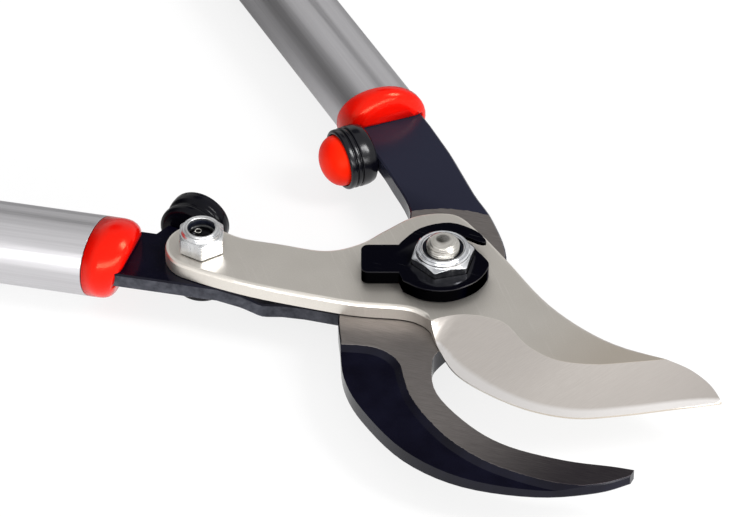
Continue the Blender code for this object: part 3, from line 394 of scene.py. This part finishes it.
def lock_look():
    """Polished black enamel on the nut lock, with a few hairline scratches; its walls are painted
    blacker and dark metallic, as painted shade that hides their reflections.
    """
    look = Look("glossy_black_enamel")
    hair = look.streaks(math.radians(15), (90, 3800, 900), detail=2)
    # painted shade: below the top the walls turn near-black and metallic, so they reflect little
    top = look.span(look.axes()[2], LOCK_TOP - 0.45 * MM, LOCK_TOP - 0.25 * MM)
    face = look.cover(ENAMEL, hair, ENAMEL_HAIRLINE, 0.70, 0.76, share=0.6)
    return look.set(Base_Color=look.mix(top, ENAMEL_WALL_PAINTED_SHADE, face),
                    Metallic=look.math("SUBTRACT", 1.0, top),
                    Specular_IOR_Level=0.5, Specular_Tint=ENAMEL_TINT,
                    Roughness=look.between(look.noise(900, 3), 0.06, 0.11, low=0.4),
                    Normal=look.bump(look.noise(260, 2), 0.05 * MM, 0.2))


def hook_look():
    """The forging's paint, ground bare round the pivot and along the jaw, darker towards the tip. The
    paint is drawn lighter along the arm, a painted sheen.
    """
    look = Look("hook_paint_and_ground_face")
    x, y, z = look.axes()
    radius = look.math("SQRT", look.math("ADD", look.math("MULTIPLY", x, x),
                                         look.math("MULTIPLY", y, y)))
    ragged = look.between(look.noise(500, 3), -0.15 * MM, 0.15 * MM)
    uneven = look.between(look.noise(700, 2), -0.06 * MM, 0.06 * MM)
    high = look.math("GREATER_THAN", look.math("ADD", z, uneven), HOOK_TOP - 0.10 * MM)
    near = look.math("LESS_THAN", look.math("ADD", radius, ragged), 34.8 * MM)
    bare = look.math("MULTIPLY", high, look.math("MAXIMUM", near, look.math("LESS_THAN", y, 0.0)))
    lines = look.streaks(math.radians(20), (150, 4200, 900), rough=0.7)
    to_tip = look.span(x, 30 * MM, 82 * MM, smooth=True)
    steel = look.mix(to_tip, look.tint(lines, BARE_STEEL), look.tint(lines, BARE_STEEL_TIP))
    # painted sheen: the paint lightens along the arm towards the hook's handle
    paint = look.cover(paint_tone(look), y, PAINTED_SHEEN_ON_HOOK_ARM, 8 * MM, 30 * MM)
    height = look.mix(bare, look.noise(420, 2), look.noise(2200, 4, 0.7))
    return look.set(Base_Color=look.mix(bare, paint, steel), Metallic=bare,
                    Specular_IOR_Level=0.20, Roughness=look.between(bare, 0.20, 0.42, 0, 1),
                    Normal=look.bump(height, 0.03 * MM, 0.3))


def tube_look(name, angle):
    """Satin anodised tube with fine drawing lines along it."""
    look = Look(name)
    drawn = look.streaks(angle, (14, 1500, 1500), rough=0.6)
    colour = look.tint(drawn, ALUMINIUM)
    colour = look.cover(colour, look.noise(45, 2), ALUMINIUM_CLOUD, 0.35, 0.65, share=0.3)
    return look.set(Base_Color=colour, Metallic=1.0, Roughness=look.between(drawn, 0.34, 0.42),
                    Normal=look.bump(drawn, 0.01 * MM, 0.15))


def zinc_look(name, pair, rough):
    """Zinc plate with soft stains, small knocks and wrench marks."""
    look = Look(name)
    cloud = look.noise(320, 4, 0.6)
    knocks = look.streaks(math.radians(60), (420, 2200, 700), rough=0.6)
    colour = look.tint(cloud, pair, 0.35, 0.65)
    colour = look.cover(colour, knocks, ZINC_KNOCK, 0.64, 0.70, share=0.6)
    height = look.math("ADD", cloud, look.span(look.cells(900), 0.0, 0.35))
    return look.set(Base_Color=colour, Metallic=1.0, Roughness=look.between(cloud, *rough),
                    Normal=look.bump(height, 0.035 * MM, 0.3))


def thread_look():
    """Turned bolt steel. What lies deep inside a nut is painted dark, as painted shade."""
    look = Look("turned_thread_steel")
    rings = look.streaks(0.0, (300, 300, 5200), detail=2)
    # painted shade: the bolt's end deep in the tail nut is drawn near-black
    sunk = look.math("LESS_THAN", look.axes()[2], TAIL_SUNK_BELOW)
    return look.set(Base_Color=look.mix(sunk, look.tint(rings, THREAD), SUNK_END_PAINTED_SHADE), Metallic=1.0,
                    Roughness=look.between(rings, 0.18, 0.28),
                    Normal=look.bump(look.noise(700, 3), 0.03 * MM, 0.3))


def red_plastic_look():
    """Glossy moulding with a trace of orange peel."""
    look = Look("moulded_red_plastic")
    peel = look.noise(700, 2, 0.5)
    return look.set(Base_Color=look.tint(look.noise(70, 3), RED_PLASTIC),
                    Specular_IOR_Level=0.34, Specular_Tint=RED_GLOSS,
                    Roughness=look.between(peel, 0.18, 0.24),
                    Normal=look.bump(peel, 0.03 * MM, 0.1))


def red_rubber_look():
    """Satin moulded rubber."""
    look = Look("red_bumper_rubber")
    fine = look.noise(2400, 3, 0.6)
    return look.set(Base_Color=look.tint(look.noise(120, 3), RED_RUBBER),
                    Specular_IOR_Level=0.12, Specular_Tint=RED_GLOSS,
                    Roughness=look.between(fine, 0.34, 0.44),
                    Normal=look.bump(fine, 0.03 * MM, 0.25))


def black_rubber_look(name, gloss):
    """Smooth moulded rubber. Its gloss is given per bumper: two copies of one rubber, the hook's drawn
    shinier as a painted highlight and the blade's duller as painted shade.
    """
    look = Look(name)
    fine = look.noise(1600, 3, 0.6)
    return look.set(Base_Color=look.tint(look.noise(150, 3), BLACK_RUBBER),
                    Specular_IOR_Level=gloss, Roughness=look.between(fine, 0.18, 0.25),
                    Normal=look.bump(fine, 0.02 * MM, 0.15))


def grip_look():
    """Matt black grip with a fine moulded pebble."""
    look = Look("black_grip_rubber")
    dust = look.noise(240, 4, 0.6)
    return look.set(Base_Color=look.tint(dust, GRIP, 0.4, 0.75),
                    Roughness=look.between(dust, 0.52, 0.68),
                    Normal=look.bump(look.cells(1100, "SMOOTH_F1"), 0.08 * MM, 0.5))


def nylon_look():
    """Dark locking ring."""
    look = Look("dark_nylon")
    fine = look.noise(1500, 3, 0.6)
    return look.set(Base_Color=look.tint(fine, NYLON), Specular_IOR_Level=0.15,
                    Roughness=look.between(fine, 0.30, 0.42),
                    Normal=look.bump(fine, 0.03 * MM, 0.3))


def bronze_look():
    """Sintered bronze, rougher and darker in its pores."""
    look = Look("sintered_bronze")
    pores = look.cells(3000)
    return look.set(Base_Color=look.tint(pores, BRONZE, 0.1, 0.5), Metallic=1.0,
                    Roughness=look.between(pores, 0.55, 0.35, 0.1, 0.5),
                    Normal=look.bump(pores, 0.04 * MM, 0.4))


# Pieces made from the solids

def settle(obj, node):
    """The piece stands for that solid, which is hidden, and rides with the same body."""
    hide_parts(node)
    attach(obj, BODY_OF[node])


def link(obj):
    bpy.context.scene.collection.objects.link(obj)
    return obj


def new_object(name, bm, mat, sharp):
    """Smooth-shaded object whose edges above the sharp angle, in degrees, stay sharp."""
    bmesh.ops.recalc_face_normals(bm, faces=bm.faces)
    mesh = bpy.data.meshes.new(name)
    bm.to_mesh(mesh)
    bm.free()
    for face in mesh.polygons:
        face.use_smooth = True
    mesh.set_sharp_from_angle(angle=math.radians(sharp))
    mesh.materials.append(mat)
    return link(bpy.data.objects.new(name, mesh))


def ease_edges(obj, name, width, sharp):
    bevel = obj.modifiers.new(name, "BEVEL")
    bevel.width = width
    bevel.segments = EASE_SEGMENTS
    bevel.limit_method = "ANGLE"
    bevel.angle_limit = math.radians(sharp)


def welded(node):
    """The solid's mesh with its triangles joined into whole flat faces."""
    bm = bmesh.new()
    bm.from_mesh(frame["nodes"][node].data)
    bmesh.ops.remove_doubles(bm, verts=bm.verts, dist=WELD)
    bmesh.ops.dissolve_limit(bm, angle_limit=FLAT_WITHIN, verts=bm.verts, edges=bm.edges)
    return bm


def skin(node, name, mat, sharp, ease=0.0, flats=True):
    """The solid's surface as one welded mesh with smooth rounds and eased edges."""
    obj = new_object(name, welded(node), mat, sharp)
    if ease:
        ease_edges(obj, "eased_edges", ease, sharp)
    if flats:
        weigh = obj.modifiers.new("flat_faces_lead", "WEIGHTED_NORMAL")
        weigh.keep_sharp = True
        weigh.weight = FLAT_FACE_WEIGHT
    settle(obj, node)


def blade_plate(mat):
    """The plate, its ground face shaded as the one gently twisted surface that grinding leaves."""
    obj = new_object("blade_plate", welded("cutting_blade"), mat, sharp=32)
    mesh = obj.data
    normals = [Vector(corner.vector) for corner in mesh.corner_normals]
    ground = [f for f in mesh.polygons if f.normal.z > GROUND_LEAST_UP
              and f.center.z < BLADE_TOP - GROUND_BELOW_TOP and f.center.x > GROUND_FROM_X]
    for face in ground:
        for loop in face.loop_indices:
            at = mesh.vertices[mesh.loops[loop].vertex_index].co
            total = Vector()
            for other in ground:
                apart = (other.center - at).length / GROUND_SPREAD
                total += other.normal * other.area * math.exp(-apart * apart / 2)
            normals[loop] = total.normalized()
    for face in mesh.polygons:
        if face.normal.z > LEVEL_UP:
            for loop in face.loop_indices:
                normals[loop] = Vector((0, 0, 1))
    mesh.normals_split_custom_set([tuple(n) for n in normals])
    settle(obj, "cutting_blade")


# Turned pieces

def rounded(points, radius, steps=4):
    """A profile whose inner corners are replaced by small arcs."""
    out = [points[0]]
    for before, here, after in zip(points, points[1:], points[2:]):
        a, b, c = Vector(before), Vector(here), Vector(after)
        reach = min(radius, CORNER_SHARE * (a - b).length, CORNER_SHARE * (c - b).length)
        p, q = b + (a - b).normalized() * reach, b + (c - b).normalized() * reach
        for k in range(steps + 1):
            t = k / steps
            out.append(tuple(p * (1 - t) ** 2 + b * 2 * t * (1 - t) + q * t * t))
    out.append(points[-1])
    return out


def turned_mesh(rows, sides, place, bm=None):
    """Closed turned body, added to bm. A row is (radius, height) or gives them for an angle."""
    bm = bmesh.new() if bm is None else bm
    rings = []
    for row in rows:
        if not callable(row) and row[0] == 0:
            rings.append([bm.verts.new(place @ Vector((0, 0, row[1])))])
            continue
        ring = []
        for k in range(sides):
            a = 2 * math.pi * k / sides
            r, z = row(a) if callable(row) else row
            ring.append(bm.verts.new(place @ Vector((r * math.cos(a), r * math.sin(a), z))))
        rings.append(ring)
    closed = len(rings[0]) > 1
    pairs = list(zip(rings, rings[1:])) + ([(rings[-1], rings[0])] if closed else [])
    for low, high in pairs:
        for k in range(sides):
            m = (k + 1) % sides
            corners = [low[k % len(low)], low[m % len(low)], high[m % len(high)], high[k % len(high)]]
            corners = list(dict.fromkeys(corners))
            if len(corners) > 2:
                bm.faces.new(corners)
    return bm


def nut(node, name, mat, size):
    """Hexagon with chamfer arcs, a rolled collar with a ring groove, and the nylon's pocket."""
    low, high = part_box(node)
    centre = (low + high) / 2
    bottom, top = low.z, high.z
    shoulder = bottom + size["hexagon"]
    flat, collar, rim, bore = size["flat"], size["collar"], size["rim"], size["bore"]
    widest = flat / math.cos(math.pi / 6) - NUT_BLUNTED

    def reach(angle):
        return min(flat / math.cos(angle % (math.pi / 3) - math.pi / 6), widest)

    def crown(angle):
        across = reach(angle)
        return across, shoulder - CHAMFER_DROP - (across - flat) * CHAMFER_SLOPE

    def foot(angle):
        return reach(angle), bottom + NUT_FOOT

    def base(angle):
        return reach(angle) - NUT_FOOT, bottom

    step = collar - COLLAR_BAND
    ring = (step - rim) / 2
    pocket = [(bore, top - POCKET_DEPTH), (rim + 0.1 * MM, top - POCKET_DEPTH), (rim, top - 0.45 * MM)]
    roll = [(rim + ring - ring * math.cos(math.pi * k / ROLL_STEPS),
             top - ROLL_HEIGHT + ROLL_HEIGHT * math.sin(math.pi * k / ROLL_STEPS))
            for k in range(ROLL_STEPS + 1)]
    groove = [(step, top - ROLL_HEIGHT), (step + 0.12 * MM, top - 0.55 * MM),
              (step + 0.35 * MM, top - 0.42 * MM)]
    wall = [(collar - 0.30 * MM, top - ROLL_HEIGHT), (collar, top - 1.0 * MM),
            (collar, shoulder + 0.45 * MM), (collar + 0.15 * MM, shoulder),
            (flat, shoulder - 0.05 * MM)]
    lip = rounded(groove + wall, LIP_ROUND)
    rows = pocket + roll + lip[1:] + [crown, foot, base, (bore, bottom)]
    place = Matrix.Translation((centre.x, centre.y, 0)) @ Matrix.Rotation(size["turn"], 4, "Z")
    obj = new_object(name, turned_mesh(rows, NUT_SIDES, place), mat, NUT_SHARP)
    ease_edges(obj, "worn_corners", NUT_WEAR, NUT_SHARP)
    settle(obj, node)


def bolt_head(bottom, head_r, head_h, r, shank_top):
    """Profile of a flat round head and the shank above it."""
    return rounded([(0, bottom), (head_r, bottom), (head_r, bottom + head_h), (r, bottom + head_h),
                    (r, shank_top)], HEAD_ROUND)


def pivot_bolt(mat):
    """Flat round head below, shank, and a domed end with its last turns of thread."""
    r, end = PIVOT_BOLT_R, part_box("pivot_bolt")[1].z
    rows = bolt_head(0.0, PIVOT_HEAD_R, PIVOT_HEAD_H, r, THREAD_FROM - 0.1 * MM)
    for k in range(THREAD_ROWS):
        z = THREAD_FROM + (end - THREAD_FROM) * math.sin(math.pi / 2 * k / THREAD_ROWS)
        rise = max(0.0, (z - (end - DOME_H)) / DOME_H)
        wide = r / 4 + 0.75 * r * math.sqrt(max(0.0, 1 - rise * rise))
        turn = (z - THREAD_FROM) / THREAD_PITCH % 1.0
        fade = min(1.0, max(0.0, (end - THREAD_END - z) / THREAD_FADE))
        rows.append((wide - THREAD_DEPTH * (1 - abs(2 * turn - 1)) * fade, z))
    rows += [(r / 4, end), (0, end)]
    obj = new_object("pivot_bolt_steel", turned_mesh(rows, TURNED_SIDES, Matrix.Identity(4)), mat, 50)
    settle(obj, "pivot_bolt")


def tail_bolt(mat):
    """Flat round head below, shank, and an end low in its nut with a small ring beside its centre."""
    low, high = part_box("tail_bolt")
    centre = (low + high) / 2
    r, end = TAIL_BOLT_R, high.z + TAIL_END_RISE
    rows = bolt_head(low.z, TAIL_HEAD_R, TAIL_HEAD_H, r, end - 3.0 * MM)
    rows += [(r, end - 1.3 * MM), (r - 0.7 * MM, end - 0.5 * MM), (0, end - 0.5 * MM)]
    place = Matrix.Translation((centre.x, centre.y, 0))
    bm = turned_mesh(rows, TURNED_SIDES, place)
    mark = rounded([(0.65 * MM, end - 0.7 * MM), (0.75 * MM, end), (1.1 * MM, end),
                    (1.2 * MM, end - 0.7 * MM)], MARK_ROUND, 3)
    beside = place @ Matrix.Translation(ground_point(*MARK_AT))
    turned_mesh(mark, MARK_SIDES, beside, bm)
    settle(new_object("tail_bolt_steel", bm, mat, 40), "tail_bolt")


def bumper_place(side):
    """Frame of a bumper: its z runs from the arm's edge along the bumper's axis."""
    s, n, tilt = BUMPER_AT[side]
    sign = 1 if side == "hook" else -1
    along = Vector((-math.cos(HANDLE_SPREAD), sign * math.sin(HANDLE_SPREAD), 0))
    out = Vector((math.sin(HANDLE_SPREAD), sign * math.cos(HANDLE_SPREAD), 0))
    axis = -(along * math.sin(tilt) + out * math.cos(tilt))
    at = along * s + out * n
    frame_x = Vector((0, 0, 1)).cross(axis)
    turn = Matrix((frame_x, axis.cross(frame_x), axis)).transposed().to_4x4()
    return Matrix.Translation((at.x, at.y, ARM_MIDDLE)) @ turn @ Matrix.Translation((0, 0, GAP))


def bumper(side, rubber, red):
    """Rubber body, a spool on the blade's side and grooved on the hook's, and its domed insert."""
    r, length, place = BUMPER_R, BUMPER_LENGTH, bumper_place(side)
    pocket = length - INSERT_SEAT
    bore = [(0, BUMPER_BORE_DEPTH), (BUMPER_BORE_R, BUMPER_BORE_DEPTH), (BUMPER_BORE_R, 0)]
    wall = [(r - inset * MM, height * MM) for inset, height in BUMPER_WALL[side]]
    rim = [(r - 0.15 * MM, length - 0.5 * MM), (r - 0.7 * MM, length), (INSERT_R + GAP, length),
           (INSERT_R + GAP, pocket), (0, pocket)]
    rows = rounded(bore + wall + rim, BUMPER_EASE[side], 5)
    obj = new_object(side + "_bumper_ring", turned_mesh(rows, TURNED_SIDES, place), rubber, 60)
    settle(obj, side + "_bumper_body")
    dome = INSERT_DOME[side]
    rows = [(0, pocket + GAP), (INSERT_R, pocket + GAP)]
    for k in range(INSERT_STEPS):
        a = math.pi / 2 * k / INSERT_STEPS
        rows.append((INSERT_R * math.cos(a), length + dome * math.sin(a)))
    rows.append((0, length + dome))
    obj = new_object(side + "_bumper_dome", turned_mesh(rows, TURNED_SIDES, place), red, 50)
    settle(obj, side + "_bumper_insert")


def dress():
    """Every solid gets its visible piece."""
    paint, thread, nylon = paint_look(), thread_look(), nylon_look()
    red, red_rubber, grip = red_plastic_look(), red_rubber_look(), grip_look()
    zinc = zinc_look("bright_zinc", BRIGHT_ZINC, (0.14, 0.27))
    pale_zinc = zinc_look("pale_zinc", PALE_ZINC, (0.24, 0.34))
    # one rubber in two copies, glossier for a painted highlight and duller for painted shade
    rubber = {"hook": black_rubber_look("bumper_rubber_painted_highlight", BUMPER_GLOSS["hook"]),
              "blade": black_rubber_look("bumper_rubber_painted_shade", BUMPER_GLOSS["blade"])}
    skin("hook", "hook_forging", hook_look(), 28, PAINTED_EASE)
    blade_plate(steel_look())
    skin("blade_arm", "blade_arm_bar", paint, 28, PAINTED_EASE)
    skin("pivot_nut_lock", "nut_lock_plate", lock_look(), 50)
    for side, angle in (("hook", HOOK_ALONG), ("blade", BLADE_ALONG)):
        alu = tube_look(side + "_tube_aluminium", angle)
        skin(side + "_tube", side + "_handle_tube", alu, 40, TUBE_EASE)
        skin(side + "_tube_rivet", side + "_rivet_heads", alu, 40)
        skin(side + "_collar", side + "_collar_moulding", red, 50, flats=False)
        skin(side + "_grip", side + "_grip_sleeve", grip, 40)
        skin(side + "_end_cap", side + "_cap_moulding", red, 45)
        skin(side + "_bumper_pin", side + "_bumper_pin_steel", zinc, 40)
        bumper(side, rubber[side], red_rubber)
    nut("pivot_nut", "pivot_lock_nut", zinc, PIVOT_NUT)
    nut("tail_nut", "tail_lock_nut", pale_zinc, TAIL_NUT)
    skin("pivot_nut_insert", "pivot_lock_nut_ring", nylon, 40, RING_EASE)
    skin("tail_nut_insert", "tail_lock_nut_ring", nylon, 40, RING_EASE)
    pivot_bolt(thread)
    tail_bolt(thread)
    skin("pivot_washer", "pivot_washer_steel", zinc, 35)
    skin("pivot_bush", "pivot_bush_bronze", bronze_look(), 40)


# Studio

def ground_point(right, away, up=0.0):
    """A point given as seen from the camera: to the right, away from it, and up."""
    c, s = math.cos(CAMERA_TURN), math.sin(CAMERA_TURN)
    return Vector((c * right - s * away, s * right + c * away, up))


def sky_point(azimuth, elevation):
    """Direction of a point of the sky. Azimuth 0 is away from the camera, 90 is to its right."""
    a, e = math.radians(azimuth), math.radians(elevation)
    return ground_point(math.sin(a) * math.cos(e), math.cos(a) * math.cos(e), math.sin(e))


def world():
    """Pale room, lighter on the camera's side, with dim patches where flat tops and tubes look."""
    room = bpy.data.worlds.new("studio")
    bpy.context.scene.world = room
    room.use_nodes = True
    nodes = Nodes(room.node_tree)
    place = nodes.add("ShaderNodeTexCoord").outputs["Generated"]
    toward = nodes.along(place, -ground_point(0, 1))
    level = nodes.span(toward, *ROOM_TURN, *ROOM_LEVEL, smooth=True)
    for azimuth, elevation, outer, inner, depth in SKY_PATCHES:
        near = nodes.along(place, sky_point(azimuth, elevation))
        dim = nodes.span(near, math.cos(math.radians(outer)), math.cos(math.radians(inner)),
                         0.0, depth, smooth=True)
        level = nodes.math("MULTIPLY", level, nodes.math("SUBTRACT", 1.0, dim))
    back = room.node_tree.nodes["Background"]
    nodes.put(level, back.inputs["Color"])
    back.inputs["Strength"].default_value = 1.0


def floor():
    """White to the camera and in reflections, dimmer in those behind the object, with its shadow."""
    bm = bmesh.new()
    bmesh.ops.create_grid(bm, x_segments=1, y_segments=1, size=FLOOR_SIZE)
    mesh = bpy.data.meshes.new("floor")
    bm.to_mesh(mesh)
    bm.free()
    ground = link(bpy.data.objects.new("floor", mesh))
    ground.location.z = -FLOOR_DROP
    look = Look("white_floor")
    look.set(Base_Color=FLOOR, Roughness=0.7, Specular_IOR_Level=0.2)
    glow = look.add("ShaderNodeEmission")
    glow.inputs["Strength"].default_value = 1.0
    path = look.add("ShaderNodeLightPath").outputs
    level = look.span(look.along(look.place, ground_point(*FLOOR_DIM_AWAY)), FLOOR_DIM_FROM,
                      FLOOR_DIM_TO, 1.0, FLOOR_DIM_LEVEL, smooth=True)
    look.put(look.mix(path["Is Camera Ray"], level, WHITE), glow.inputs["Color"])
    mirrored = look.math("MAXIMUM", path["Is Glossy Ray"], path["Is Transmission Ray"])
    seen = look.math("MAXIMUM", path["Is Camera Ray"], mirrored)
    blend = look.add("ShaderNodeMixShader")
    look.put(look.math("MULTIPLY", seen, FLOOR_GLOW), blend.inputs[0])
    look.put(look.shader.outputs[0], blend.inputs[1])
    look.put(glow.outputs[0], blend.inputs[2])
    look.put(blend.outputs[0], look.tree.nodes["Material Output"].inputs["Surface"])
    mesh.materials.append(look.mat)


def softbox(name, azimuth, elevation, distance, size, power):
    light = bpy.data.lights.new(name, "AREA")
    light.shape = "RECTANGLE"
    light.size, light.size_y = size
    light.energy = power
    lamp = link(bpy.data.objects.new(name, light))
    lamp.location = sky_point(azimuth, elevation) * distance
    lamp.rotation_euler = (-lamp.location).to_track_quat("-Z", "Y").to_euler()


def camera():
    data = bpy.data.cameras.new("camera")
    data.lens = CAMERA_LENS
    data.sensor_width = SENSOR
    data.clip_end = CAMERA_REACH
    view = link(bpy.data.objects.new("camera", data))
    view.location = CAMERA_AT
    view.rotation_euler = (CAMERA_TILT, 0, CAMERA_TURN)
    bpy.context.scene.camera = view


bpy.context.scene.view_settings.view_transform = "Standard"
dress()
world()
floor()
for box in SOFTBOXES:
    softbox(*box)
camera()
